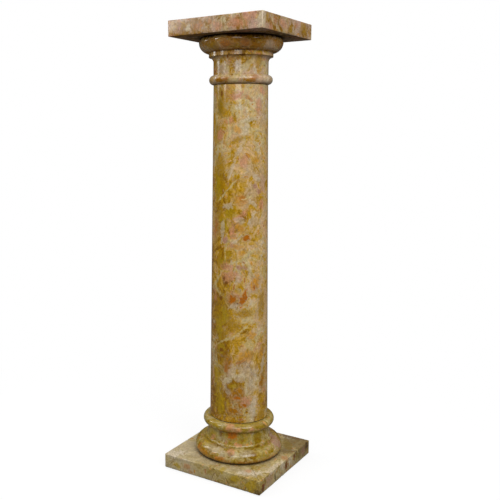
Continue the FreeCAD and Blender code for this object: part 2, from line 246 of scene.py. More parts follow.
class Graph:
    """The node tree of a material or world, with short ways to add the nodes used here."""

    def __init__(self, owner):
        owner.use_nodes = True
        self.owner = owner
        self.tree = owner.node_tree

    def feed(self, socket, value):
        """Link a socket to another, or set it to a plain value."""
        if isinstance(value, bpy.types.NodeSocket):
            self.tree.links.new(value, socket)
        else:
            socket.default_value = value

    def add(self, kind, inputs=(), **settings):
        """Add a node with its settings and its inputs."""
        node = self.tree.nodes.new(kind)
        for name, value in settings.items():
            setattr(node, name, value)
        for key, value in dict(inputs).items():
            self.feed(node.inputs[key], value)
        return node

    def here(self):
        """The point that is being shaded, in its object's own frame."""
        return self.add("ShaderNodeTexCoord").outputs["Object"]

    def math(self, operation, first, second=0.0, clamp=False):
        """The outcome of an operation on one or two values."""
        inputs = {0: first, 1: second}
        return self.add("ShaderNodeMath", inputs, operation=operation, use_clamp=clamp).outputs[0]

    def plus(self, first, second):
        return self.math("ADD", first, second)

    def minus(self, first, second):
        return self.math("SUBTRACT", first, second)

    def times(self, first, second):
        return self.math("MULTIPLY", first, second)

    def vector(self, operation, first, second=(0.0, 0.0, 0.0)):
        """The outputs of an operation on one or two vectors."""
        inputs = {0: first, 1: second}
        return self.add("ShaderNodeVectorMath", inputs, operation=operation).outputs

    def place(self, point, location=(0, 0, 0), rotation=(0, 0, 0), scale=(1, 1, 1), kind="POINT"):
        """A point scaled, turned and moved or, as a TEXTURE, moved, turned and scaled back."""
        inputs = {"Vector": point, "Location": location, "Rotation": rotation, "Scale": scale}
        return self.add("ShaderNodeMapping", inputs, vector_type=kind).outputs[0]

    def noise(self, point, scale, detail=3.0, roughness=0.55, distortion=0.0):
        """The outputs of a noise: a value between 0 and 1, and a colour."""
        inputs = {"Vector": point, "Scale": scale, "Detail": detail}
        inputs.update({"Roughness": roughness, "Distortion": distortion})
        return self.add("ShaderNodeTexNoise", inputs).outputs

    def swing(self, field, amount):
        """A noise's value as a swing of the given amount about nothing."""
        return self.times(self.minus(field, 0.5), amount)

    def shifted(self, point, scale, detail, amount):
        """Push a point about by a noise, up to half the amount in metres each way."""
        push = self.noise(point, scale, detail, SHIFT_ROUGHNESS)["Color"]
        push = self.vector("SUBTRACT", push, (0.5, 0.5, 0.5))[0]
        inputs = {0: push, "Scale": amount}
        push = self.add("ShaderNodeVectorMath", inputs, operation="SCALE").outputs[0]
        return self.vector("ADD", point, push)[0]

    def step(self, value, low, high, start=0.0, end=1.0):
        """Rise smoothly from start to end as the value goes from low to high."""
        inputs = {0: value, 1: low, 2: high, 3: start, 4: end}
        return self.add("ShaderNodeMapRange", inputs, interpolation_type="SMOOTHSTEP").outputs[0]

    def mix(self, share, first, second, blend="MIX"):
        """Two colours blended, with the given share of the second."""
        node = self.add("ShaderNodeMix", data_type="RGBA", blend_type=blend)
        self.feed(node.inputs[0], share)
        self.feed(node.inputs[6], first)
        self.feed(node.inputs[7], second)
        return node.outputs[2]

    def ramp(self, value, stops):
        """Run a value through a row of (place, colour) stops."""
        node = self.add("ShaderNodeValToRGB", {0: value})
        elements = node.color_ramp.elements
        while len(elements) < len(stops):
            elements.new(0.5)
        for element, (spot, colour) in zip(elements, stops):
            element.position = spot
            element.color = colour
        return node.outputs[0]

    def bump(self, height, distance, strength, normal=None):
        """A normal that is bent by a height, on top of another normal if one is given."""
        inputs = {"Height": height, "Distance": distance, "Strength": strength}
        if normal is not None:
            inputs["Normal"] = normal
        return self.add("ShaderNodeBump", inputs).outputs[0]

    def dress(self, **values):
        """Feed the main shader's sockets, with underscores for the spaces in their names."""
        shader = self.tree.nodes["Principled BSDF"]
        for name, value in values.items():
            self.feed(shader.inputs[name.replace("_", " ")], value)
        return self.owner

    def surface(self, output, shader):
        """Make a shader the surface of a material, or of a world."""
        self.tree.links.new(shader, self.tree.nodes[output].inputs["Surface"])
        return self.owner


def new_material(name):
    """The node tree of a new material."""
    return Graph(bpy.data.materials.new(name))


# ---------------------------------------------------- the marble

# The marble's own colours, as seen under plain light, and the colour of its painted shade.
# SHADE_AND_GRIME is painted shade in the nooks, under the slab and over the ovolo's top, and also dark
# grime spots on the plinth.
SHADE_AND_GRIME = paint(60, 34, 6)
UMBER = paint(84, 50, 12)
BARK = paint(112, 62, 8)
PEAT = paint(92, 68, 18)
OLIVE = paint(122, 98, 4)
MUSTARD = paint(158, 118, 0)
CITRON = paint(164, 134, 14)
GINGER = paint(158, 104, 0)
ROSE = paint(192, 132, 98)
MAUVE = paint(160, 114, 98)
ASH = paint(196, 178, 124)
LILAC = paint(188, 164, 134)
PEARL = paint(198, 184, 160)
STONE = paint(162, 146, 116)
CHALK = paint(208, 196, 160)
RUST = paint(166, 94, 2)
HONEY = paint(194, 132, 8)


def shades(*stops):
    """A row of stops for a ramp, from places and screen colours."""
    return [(place, paint(*colour)) for place, *colour in stops]


# The colours of each stone's fragments, from the deepest to the palest.
SHAFT_GROUND = shades(
    (0.08, 140, 96, 0), (0.26, 164, 120, 0), (0.44, 182, 138, 18),
    (0.64, 194, 154, 74), (0.88, 202, 166, 118),
)
BASE_GROUND = shades(
    (0.10, 122, 86, 0), (0.30, 140, 110, 4), (0.50, 152, 128, 46),
    (0.70, 160, 142, 84), (0.90, 170, 154, 114),
)
CAPITAL_GROUND = shades(
    (0.10, 128, 82, 0), (0.26, 158, 112, 0), (0.44, 180, 136, 28),
    (0.62, 190, 154, 94), (0.84, 196, 162, 130),
)
SLAB_GROUND = shades(
    (0.08, 146, 104, 26), (0.28, 158, 122, 76), (0.48, 170, 140, 108),
    (0.68, 184, 158, 130), (0.90, 190, 156, 136),
)
PLINTH_GROUND = shades(
    (0.10, 128, 98, 20), (0.28, 150, 126, 58), (0.48, 168, 148, 96),
    (0.68, 178, 162, 124), (0.88, 190, 176, 144),
)

# How the stone was laid and bent: scale to the metre, detail, and reach in metres.
BED_TURN = (0.30, 0.42, 0.52)
BED_STRETCH = (1.0, 1.0, 0.86)
FLOW = (8.0, 3.0, 0.08)
BREAK = (46.0, 3.0, 0.020)
RAG = (190.0, 3.0, 0.0045)
MARK_BEND = (48.0, 4.0, 0.014)

# The noises of the figure: scale to the metre, detail and roughness.
ZONE = (10.0, 5.0, 0.62)
PATCH = (64.0, 5.0, 0.68)
BLOT = (150.0, 4.0, 0.7)
SPECK = (260.0, 3.0, 0.65)
GRAIN = (900.0, 2.0, 0.6)
TENDER = (22.0, 6.0, 0.68)
COVER = (12.0, 5.0, 0.66)
VEIN = (5.5, 4.0, 0.5)
CRACK = (14.0, 4.0, 0.5)
HAZE = (40.0, 4.0, 0.6)
WAVE = (22.0, 2.0, 0.5)

# Moves that keep noises of one point from looking alike.
PATCH_AWAY = (3.1, 0, 0)
TENDER_AWAY = (0, 0, 7.7)
COVER_AWAY = (9.2, 0, 2.0)
VEIN_AWAY = (0, 2.2, 8.0)
CRACK_AWAY = (6.0, 0, 4.0)

# Fragments and freckles to the metre, and how far the painted shade reaches from a nook.
LARGE_FRAGMENTS = 52.0
SMALL_FRAGMENTS = 118.0
FRECKLES = 210.0
NOOK_REACH = 0.018
NOOK_SAMPLES = 6

# Depths of the waves left by polishing and of the pits, in metres, and their strength.
WAVE_DEPTH = 0.0008
PIT_DEPTH = 0.0001
BUMP_STRENGTH = 0.3

# Nearness to a mark falls by MARK_SLOPE from its heart to its edge, and goes on at
# the same slope up to MARK_REACH times as far out.
MARK_REACH = 3.0
MARK_SLOPE = 0.6


class Breccia(Graph):
    """A stone's material: golden fragments in a pale web, laid down in layers."""

    def __init__(self, name, block):
        super().__init__(bpy.data.materials.new(name))
        self.colour = None
        self.point = self.here()
        self.bedded = self.place(self.point, block, BED_TURN, BED_STRETCH)
        self.flowed = self.shifted(self.bedded, *FLOW)
        self.broken = self.shifted(self.flowed, *BREAK)
        self.ragged = self.shifted(self.broken, *RAG)
        self.zone = self.noise(self.flowed, *ZONE)[0]
        self.patch = self.noise(self.place(self.ragged, PATCH_AWAY), *PATCH)[0]
        self.blot = self.noise(self.ragged, *BLOT)[0]
        self.speck = self.noise(self.point, *SPECK)[0]
        self.large, _, self.large_edge = self.fragments(LARGE_FRAGMENTS)
        self.small, self.small_heart, self.small_edge = self.fragments(SMALL_FRAGMENTS)

    def fragments(self, scale):
        """Broken fragments: random values for each, the distance to its heart and to its edge."""
        inputs = {"Vector": self.ragged, "Scale": scale}
        cells = self.add("ShaderNodeTexVoronoi", inputs)
        edges = self.add("ShaderNodeTexVoronoi", inputs, feature="DISTANCE_TO_EDGE")
        kinds = self.add("ShaderNodeSeparateColor", {0: cells.outputs["Color"]})
        return kinds.outputs, cells.outputs["Distance"], edges.outputs["Distance"]

    def hairline(self, point, kind, away):
        """How far a noise is from its middle, which is nothing along fine lines."""
        field = self.noise(self.place(point, away), *kind)[0]
        return self.math("ABSOLUTE", self.minus(field, 0.5))

    def lay(self, share, tint):
        """Lay a share of a tint over the colour so far."""
        self.colour = self.mix(share, self.colour, tint)

    def lay_ground(self, ground, bias, contrast):
        """Colour the fragments from deep to pale, unevenly within each."""
        depth = self.plus(bias, 0.5)
        whole = ((self.large[0], 0.40), (self.small[0], 0.26))
        within = ((self.zone, 1.5), (self.patch, 1.5), (self.speck, 0.35))
        for field, amount in whole + within:
            depth = self.plus(depth, self.swing(field, amount * contrast))
        self.colour = self.ramp(depth, ground)

    def lay_blush(self, blush):
        """Turn zones rose, with mauve in their middles."""
        tender = self.noise(self.place(self.ragged, TENDER_AWAY), *TENDER)[0]
        start = 0.64 - 0.13 * blush
        self.lay(self.step(tender, start, start + 0.1, 0.0, 0.7), ROSE)
        self.lay(self.step(tender, start + 0.1, start + 0.18, 0.0, 0.5), MAUVE)

    def lay_web(self, pale, bias):
        """Lay the web between the fragments: its width follows the cover, down to nothing."""
        cover = self.noise(self.place(self.bedded, COVER_AWAY), *COVER)[0]
        cover = self.plus(cover, 0.12 * (pale - 0.5))
        cover = self.plus(cover, self.times(bias, 0.10))
        width = self.step(cover, 0.38, 0.72, -0.07, 0.12)
        coarse = self.step(self.minus(self.large_edge, width), -0.02, 0.06, 1.0, 0.0)
        fine = self.step(self.minus(self.small_edge, width), -0.02, 0.10, 1.0, 0.0)
        tinge = self.mix(self.step(self.patch, 0.42, 0.58), ASH, LILAC)
        self.lay(self.times(fine, 0.40), tinge)
        self.lay(self.times(coarse, 0.62), tinge)
        bright = self.plus(cover, self.swing(self.patch, 0.6))
        self.lay(self.step(bright, 0.58, 0.76, 0.0, 0.75), CHALK)

    def lay_bright_fragments(self):
        """Pick out some small fragments in honey or rust, each with a pale rim."""
        rim = self.step(self.small_heart, 0.30, 0.62, 1.0, 0.0)
        heart = self.plus(self.small_heart, self.swing(self.speck, 0.8))
        heart = self.step(heart, 0.22, 0.42, 1.0, 0.0)
        honeyed = self.step(self.small[1], 0.80, 0.86)
        rusty = self.step(self.small[2], 0.93, 0.95)
        chosen = self.math("MAXIMUM", honeyed, rusty)
        self.lay(self.times(self.times(rim, chosen), 0.5), LILAC)
        self.lay(self.times(self.times(heart, honeyed), 0.8), HONEY)
        self.lay(self.times(self.times(heart, rusty), 0.8), RUST)

    def lay_veins(self):
        """Draw long pale veins and fine dark cracks."""
        vein = self.step(self.hairline(self.flowed, VEIN, VEIN_AWAY), 0.004, 0.016, 1.0, 0.0)
        vein = self.times(vein, self.step(self.patch, 0.38, 0.5))
        self.lay(self.times(vein, 0.6), ASH)
        crack = self.step(self.hairline(self.broken, CRACK, CRACK_AWAY), 0.0, 0.007, 1.0, 0.0)
        crack = self.times(crack, self.step(self.zone, 0.5, 0.4))
        self.lay(self.times(crack, 0.45), UMBER)

    def nearness_to(self, marks, point):
        """How near a point is to the nearest mark: 1 at a heart, 1 - MARK_SLOPE at an edge."""
        nearest = None
        for mark in marks:
            reach = [MARK_REACH * size for size in mark["reach"]]
            local = self.place(point, mark["place"], mark["tilt"], reach, "TEXTURE")
            ball = self.add("ShaderNodeTexGradient", {"Vector": local}, gradient_type="SPHERICAL")
            near = ball.outputs[1]
            nearest = near if nearest is None else self.math("MAXIMUM", nearest, near)
        fall = MARK_SLOPE * MARK_REACH
        return self.plus(self.times(nearest, fall), 1.0 - fall)

    def lay_marks(self, groups):
        """Lay the marks at known places, frayed by its own mottle; some are painted shade and some
        painted highlights.
        """
        fray = self.plus(self.swing(self.patch, 1.5), self.swing(self.blot, 1.2))
        uneven = self.step(self.blot, 0.34, 0.56, 0.72, 1.0)
        bent = self.shifted(self.point, *MARK_BEND)
        for tint, share, halo, marks in groups:
            nearness = self.plus(self.nearness_to(marks, bent), fray)
            if halo > 0:
                self.lay(self.step(nearness, -0.1, 0.3, 0.0, halo), LILAC)
            cover = self.step(nearness, 0.24, 0.66, 0.0, share)
            self.lay(self.math("MULTIPLY", cover, uneven, clamp=True), tint)

    def lay_freckles(self):
        """Scatter small dark pits, and return where they are."""
        dots = self.add("ShaderNodeTexVoronoi", {"Vector": self.point, "Scale": FRECKLES})
        kinds = self.add("ShaderNodeSeparateColor", {0: dots.outputs["Color"]})
        near = self.step(dots.outputs["Distance"], 0.18, 0.32, 1.0, 0.0)
        pit = self.times(near, self.step(kinds.outputs[0], 0.95, 0.97))
        self.lay(self.times(pit, 0.6), UMBER)
        return pit

    def lay_shade_and_grime(self):
        """Paint shade, with some grime, into the nooks where stones meet."""
        inputs = {"Distance": NOOK_REACH}
        nook = self.add("ShaderNodeAmbientOcclusion", inputs, samples=NOOK_SAMPLES).outputs["AO"]
        # Painted shade: the more closed in a nook is, the darker it is painted.
        self.lay(self.step(nook, 0.1, 0.75, 0.85, 0.0), SHADE_AND_GRIME)

    def mottle(self):
        """Vary the tone by the specks, the blots and the fine grain."""
        grain = self.noise(self.point, *GRAIN)[0]
        tone = self.step(self.speck, 0.3, 0.7, 0.84, 1.14)
        tone = self.times(tone, self.step(self.blot, 0.3, 0.7, 0.80, 1.17))
        tone = self.times(tone, self.step(grain, 0.3, 0.7, 0.93, 1.07))
        grey = self.add("ShaderNodeCombineColor", {0: tone, 1: tone, 2: tone}).outputs[0]
        self.colour = self.mix(1.0, self.colour, grey, "MULTIPLY")

    def polish(self, pit):
        """Polish it: hazy in zones, dull in pits and on flat faces, and gently wavy."""
        normal = self.add("ShaderNodeTexCoord").outputs["Normal"]
        facing = self.add("ShaderNodeSeparateXYZ", {0: normal}).outputs["Z"]
        sawn = self.step(facing, -0.97, -0.85, 1.0, 0.0)
        rubbed = self.step(facing, 0.9, 0.98)
        rough = self.step(self.noise(self.point, *HAZE)[0], 0.3, 0.7, 0.09, 0.18)
        rough = self.plus(rough, self.times(pit, 0.3))
        rough = self.plus(rough, self.times(rubbed, 0.42))
        rough = self.math("ADD", rough, self.times(sawn, 0.7), clamp=True)
        gloss = self.minus(0.5, self.times(sawn, 0.4))
        gloss = self.minus(gloss, self.times(rubbed, 0.25))
        bent = self.bump(self.noise(self.point, *WAVE)[0], WAVE_DEPTH, BUMP_STRENGTH)
        bent = self.bump(self.minus(self.speck, pit), PIT_DEPTH, BUMP_STRENGTH, bent)
        return self.dress(
            Base_Color=self.colour,
            Roughness=rough,
            Normal=bent,
            IOR=1.5,
            Specular_IOR_Level=gloss,
        )


def marble(name, block, ground, pale, blush, lift, contrast, marks, lean=(0.0, 0.0, 0.0)):
    """Polished breccia marble, cut for one stone.

    block is where in the quarry the stone was cut, so that no two stones match.
    ground is the row of colours of its fragments, contrast how far they differ,
    pale how much of the stone the web covers, and blush how much turns rose.
    lean is the way the ground grows paler, in steps to a metre, and lift how pale
    it is at the frame's origin.  marks are the groups laid at known places, some
    of them painted shade and highlights: (colour, share, halo, [mark, ...]).
    """
    stone = Breccia(name, block)
    bias = stone.plus(stone.vector("DOT_PRODUCT", stone.point, lean)["Value"], lift)
    stone.lay_ground(ground, bias, contrast)
    stone.lay_blush(blush)
    stone.lay_web(pale, bias)
    stone.lay_bright_fragments()
    stone.lay_veins()
    stone.lay_marks(marks)
    pit = stone.lay_freckles()
    stone.lay_shade_and_grime()
    stone.mottle()
    return stone.polish(pit)


# ------------------------------------------- the other materials

BRASS = paint(214, 176, 98)
BRASS_STAIN = paint(150, 112, 58)
ZINC = paint(186, 188, 190)
ZINC_STAIN = paint(132, 132, 130)
STEEL = paint(200, 200, 202)
STEEL_STAIN = paint(150, 148, 144)
FELT_DEEP = paint(34, 44, 30)
FELT_PALE = paint(78, 90, 66)
FELT_DUST = paint(52, 54, 40)
DISC_DARK = paint(30, 22, 15)
DISC_DUST = paint(66, 50, 34)


def metal(name, tint, stain_tint, smooth, dull, rings):
    """Turned metal: fine rings round the axis, a little stain and uneven polish.

    smooth and dull are the ends of its roughness, and rings how close they lie.
    """
    graph = new_material(name)
    here = graph.here()
    stain = graph.noise(here, 60.0, 5.0, 0.65)[0]
    colour = graph.mix(graph.step(stain, 0.42, 0.66), tint, stain_tint)
    ringed = graph.noise(graph.place(here, scale=(40.0, 40.0, rings)), 6.0, 3.0, 0.6)[0]
    rough = graph.step(ringed, 0.3, 0.7, smooth, dull)
    normal = graph.bump(ringed, 0.00005, 0.5)
    return graph.dress(Base_Color=colour, Metallic=1.0, Roughness=rough, Normal=normal)


def felt():
    """Pressed wool felt: a matt cloud of short fibres."""
    graph = new_material("felt")
    here = graph.here()
    fibre = graph.noise(graph.place(here, scale=(1.0, 1.0, 3.0)), 900.0, 6.0, 0.75, 1.5)[0]
    patch = graph.noise(here, 45.0)[0]
    colour = graph.mix(graph.step(fibre, 0.3, 0.7), FELT_DEEP, FELT_PALE)
    colour = graph.mix(graph.step(patch, 0.4, 0.7, 0.0, 0.35), colour, FELT_DUST)
    return graph.dress(
        Base_Color=colour,
        Roughness=graph.step(fibre, 0.3, 0.7, 0.86, 1.0),
        Normal=graph.bump(fibre, 0.0006, 0.8),
        Sheen_Weight=0.4,
        Sheen_Roughness=0.5,
    )


def joint_disc():
    """The dark sealing discs, with patches of dust."""
    graph = new_material("joint_disc")
    dust = graph.noise(graph.here(), 140.0, 5.0, 0.7)[0]
    return graph.dress(
        Base_Color=graph.mix(graph.step(dust, 0.45, 0.75), DISC_DARK, DISC_DUST),
        Roughness=graph.step(dust, 0.3, 0.7, 0.7, 0.9),
        Normal=graph.bump(dust, 0.0002, 0.6),
    )


# --------------------------------------- where the camera stands

# Its place in metres and degrees, with the bearing counted from -Y towards +X.
CAMERA_BEARING = 30.03
CAMERA_DISTANCE = 1.6130
CAMERA_HEIGHT = 0.7716
CAMERA_PAN = -3.53
CAMERA_PITCH = 9.10
CAMERA_ROLL = -0.19

# Its lens and sensor in millimetres, and its shift as a share of the sensor.
CAMERA_LENS = 51.16
CAMERA_SENSOR = 36.0
CAMERA_SHIFT = 0.107


def make_camera():
    """A camera at the photograph's place, which is a little to the column's right."""
    data = bpy.data.cameras.new("camera")
    data.lens = CAMERA_LENS
    data.sensor_width = CAMERA_SENSOR
    data.shift_x = CAMERA_SHIFT
    camera = bpy.data.objects.new("camera", data)
    bpy.context.scene.collection.objects.link(camera)
    bearing = math.radians(CAMERA_BEARING)
    heading = bearing - math.radians(CAMERA_PAN)
    turned = (
        Matrix.Rotation(heading, 4, "Z")
        @ Matrix.Rotation(math.pi / 2 - math.radians(CAMERA_PITCH), 4, "X")
        @ Matrix.Rotation(math.radians(CAMERA_ROLL), 4, "Z")
    )
    spot = (
        CAMERA_DISTANCE * math.sin(bearing),
        -CAMERA_DISTANCE * math.cos(bearing),
        CAMERA_HEIGHT,
    )
    camera.matrix_world = Matrix.Translation(spot) @ turned
    bpy.context.scene.camera = camera


# ----------------------------------------------------- the marks

SHAFT_MARK_RADIUS = 64.0
SHAFT_MARK_DEPTH = 20.0


def shaft_mark(height, bearing, half_width, half_height, tilt=0.0):
    """A mark on the shaft: millimetres, and degrees counted from +X for its bearing."""
    around = math.radians(bearing)
    radius = SHAFT_MARK_RADIUS * MM
    return {
        "place": (radius * math.cos(around), radius * math.sin(around), height * MM),
        "tilt": (math.radians(tilt), 0.0, around),
        "reach": (SHAFT_MARK_DEPTH * MM, half_width * MM, half_height * MM),
    }


def face_mark(x, y, z, bearing, half_width, half_height, tilt=0.0, depth=14.0):
    """A mark on any stone, facing a bearing: millimetres and degrees, as on the shaft."""
    return {
        "place": (x * MM, y * MM, z * MM),
        "tilt": (math.radians(tilt), 0.0, math.radians(bearing)),
        "reach": (depth * MM, half_width * MM, half_height * MM),
    }


def on_shaft(tint, share, places, halo=0.0):
    """A group of marks on the shaft; each place is what a shaft mark is made from."""
    return (tint, share, halo, [shaft_mark(*place) for place in places])


def on_faces(tint, share, places, halo=0.0):
    """A group of marks on another stone; each place is what a face mark is made from."""
    return (tint, share, halo, [face_mark(*place) for place in places])


# Each group has a colour, the share of it that shows, its marks, set where
# the photograph shows them, and how strong a pale halo they have.

SLAB_MARKS = [
    on_faces(MUSTARD, 0.75, [
        (-100, -115, 1006, -90, 14, 9), (-108, -115, 992, -90, 8, 10), (-76, -115, 1004, -90, 7, 9),
        (115, -96, 1004, 0, 10, 11), (115, 74, 1000, 0, 16, 14), (115, 8, 990, 0, 9, 6),
    ]),
    on_faces(RUST, 0.42, [
        (-38, -115, 1000, -90, 13, 8, 20), (-8, -115, 1004, -90, 6, 5), (115, -60, 1002, 0, 7, 9),
        (115, 36, 1004, 0, 8, 7),
    ], halo=0.2),
    on_faces(ROSE, 0.6, [
        (52, -115, 998, -90, 20, 10), (115, -24, 998, 0, 16, 10), (10, -115, 996, -90, 12, 8),
    ]),
    # Painted shadow on the slab's underside round the capital.
    on_faces(SHADE_AND_GRIME, 0.9, [(0, 0, 983, 0, 108, 4, 0, 108)]),
    on_faces(CHALK, 0.6, [
        (112, -112, 1000, -45, 12, 20), (26, -115, 1004, -90, 5, 9, 30), (-64, -115, 996, -90, 5, 9, -30),
    ]),
]

CAPITAL_MARKS = [
    # The ovolo's golden band is the stone's colour; it is laid full strength to paint part of the shade
    # under the slab.
    on_faces(GINGER, 1.25, [
        (0, 0, 966, 0, 110, 17, 0, 110), (-8, -70, 890, -97, 20, 6), (50, -50, 888, -45, 16, 4),
    ]),
    on_faces(MUSTARD, 0.75, [
        (57, -22, 930, -21, 9, 14), (-20, -86, 960, -103, 22, 8), (-40, -46, 932, -131, 10, 14),
    ]),
    on_faces(LILAC, 0.7, [(84, -26, 960, -17, 15, 10), (-10, -60, 914, -99, 12, 10)]),
    # Pale streaks on the neck: painted highlights of the windows.
    on_faces(PEARL, 0.75, [
        (24, -55, 920, -66, 10, 16), (-22, -56, 922, -111, 5, 14), (52, -30, 912, -30, 6, 10, 20),
    ]),
    on_faces(RUST, 0.6, [
        (14, -88, 962, -81, 16, 6), (52, -72, 962, -54, 8, 7), (58, -40, 896, -35, 9, 6),
        (4, -70, 894, -87, 8, 5),
    ], halo=0.2),
    # Painted shadow over the top of the ovolo, under the slab.
    on_faces(SHADE_AND_GRIME, 0.9, [(0, 0, 980, 0, 150, 4, 0, 150)]),
]

BASE_MARKS = [
    on_faces(GINGER, 0.9, [(0, 0, 42, 0, 108, 9, 0, 108), (-45, -92, 50, -116, 24, 9)]),
    on_faces(CITRON, 0.6, [
        (-37, -62, 90, -121, 20, 14), (-22, -76, 118, -106, 14, 8), (49, -52, 92, -47, 10, 14),
        (-40, -84, 64, -116, 20, 6),
    ]),
    on_faces(OLIVE, 0.6, [
        (-58, -40, 92, -145, 16, 14), (68, 12, 92, 10, 10, 10), (62, -84, 56, -54, 12, 4),
    ]),
    on_faces(STONE, 0.5, [
        (-4, -74, 80, -93, 16, 8), (-14, -92, 64, -98, 24, 7), (52, -50, 108, -44, 12, 8),
        (24, -92, 58, -75, 20, 7), (62, -72, 62, -49, 16, 8),
    ]),
    on_faces(ROSE, 0.6, [
        (21, -78, 117, -75, 12, 8), (38, -74, 112, -63, 12, 6), (40, -68, 73, -59, 12, 4),
        (-30, -66, 78, -114, 8, 7), (64, -52, 112, -39, 9, 6), (30, -86, 64, -70, 9, 4),
    ]),
    on_faces(MAUVE, 0.7, [
        (78, 30, 72, 21, 18, 16), (92, 16, 60, 10, 18, 10), (66, -22, 108, -18, 10, 6),
    ]),
    on_faces(RUST, 1.0, [(20, -69, 93, -74, 12, 9, 12), (12, -72, 104, -80, 26, 3)]),
    on_faces(BARK, 0.6, [
        (-44, -55, 100, -129, 10, 4), (-6, -70, 92, -95, 4, 7), (44, -56, 84, -52, 5, 5),
        (30, -92, 60, -72, 5, 4), (-52, -78, 60, -124, 6, 4),
    ]),
    on_faces(RUST, 0.6, [
        (13, -101, 47, -83, 18, 5), (56, -85, 44, -57, 10, 4), (-58, -84, 52, -124, 8, 8),
    ]),
]

PLINTH_MARKS = [
    on_faces(STONE, 0.6, [
        (-84, -84, 35, -135, 60, 12, 0, 44), (-40, -108, 35, -90, 60, 8, 0, 14),
        (60, -108, 35, -90, 50, 8, 0, 20),
    ]),
    on_faces(PEAT, 0.75, [
        (112, 96, 35, 40, 50, 30, 0, 44), (106, 46, 35, 20, 22, 10, 0, 14),
        (-60, 100, 35, 90, 70, 10, 0, 24),
    ]),
    on_faces(OLIVE, 0.6, [
        (92, 74, 35, 40, 30, 12, 0, 12), (-96, 40, 35, 0, 50, 12, 0, 16), (126, 60, 20, 0, 10, 10),
    ]),
    on_faces(PEARL, 0.7, [
        (120, -52, 35, 0, 34, 8, 0, 8), (126, -20, 26, 0, 11, 12), (126, 24, 24, 0, 8, 9),
        (-110, -112, 35, -60, 30, 8, 0, 16), (90, -104, 35, -60, 36, 8, 0, 14),
    ]),
    on_faces(UMBER, 0.55, [(88, 122, 35, 90, 46, 8, 0, 9)]),
    on_faces(CITRON, 0.8, [
        (106, -126, 18, -90, 20, 16), (64, -124, 24, -90, 20, 9), (30, -122, 34, -90, 6, 8),
        (-92, -126, 14, -90, 10, 6),
    ]),
    on_faces(MAUVE, 0.45, [(126, -84, 20, 0, 22, 12), (126, 92, 20, 0, 12, 8)]),
    on_faces(RUST, 0.5, [
        (-62, -126, 18, -90, 10, 6), (-52, -126, 9, -90, 6, 4), (82, -98, 35, -49, 8, 8, 0, 7),
        (120, 6, 35, 0, 10, 6, 0, 10),
    ], halo=0.3),
    on_faces(BARK, 1.0, [
        (126, 3, 22, 0, 7, 10, 10), (126, 44, 24, 0, 6, 7, -20), (126, -112, 12, 0, 6, 9),
    ]),
    on_faces(SHADE_AND_GRIME, 0.7, [
        (126, 112, 26, 0, 9, 8), (122, -124, 8, -45, 9, 9), (126, -52, 14, 0, 4, 12, 10),
    ]),
    on_faces(UMBER, 0.6, [
        (-104, -126, 20, -90, 0.9, 18, -48), (-96, -126, 12, -90, 0.8, 8, 40),
        (8, -126, 16, -90, 0.9, 12, -30), (44, -126, 14, -90, 0.9, 10, 35),
    ]),
]

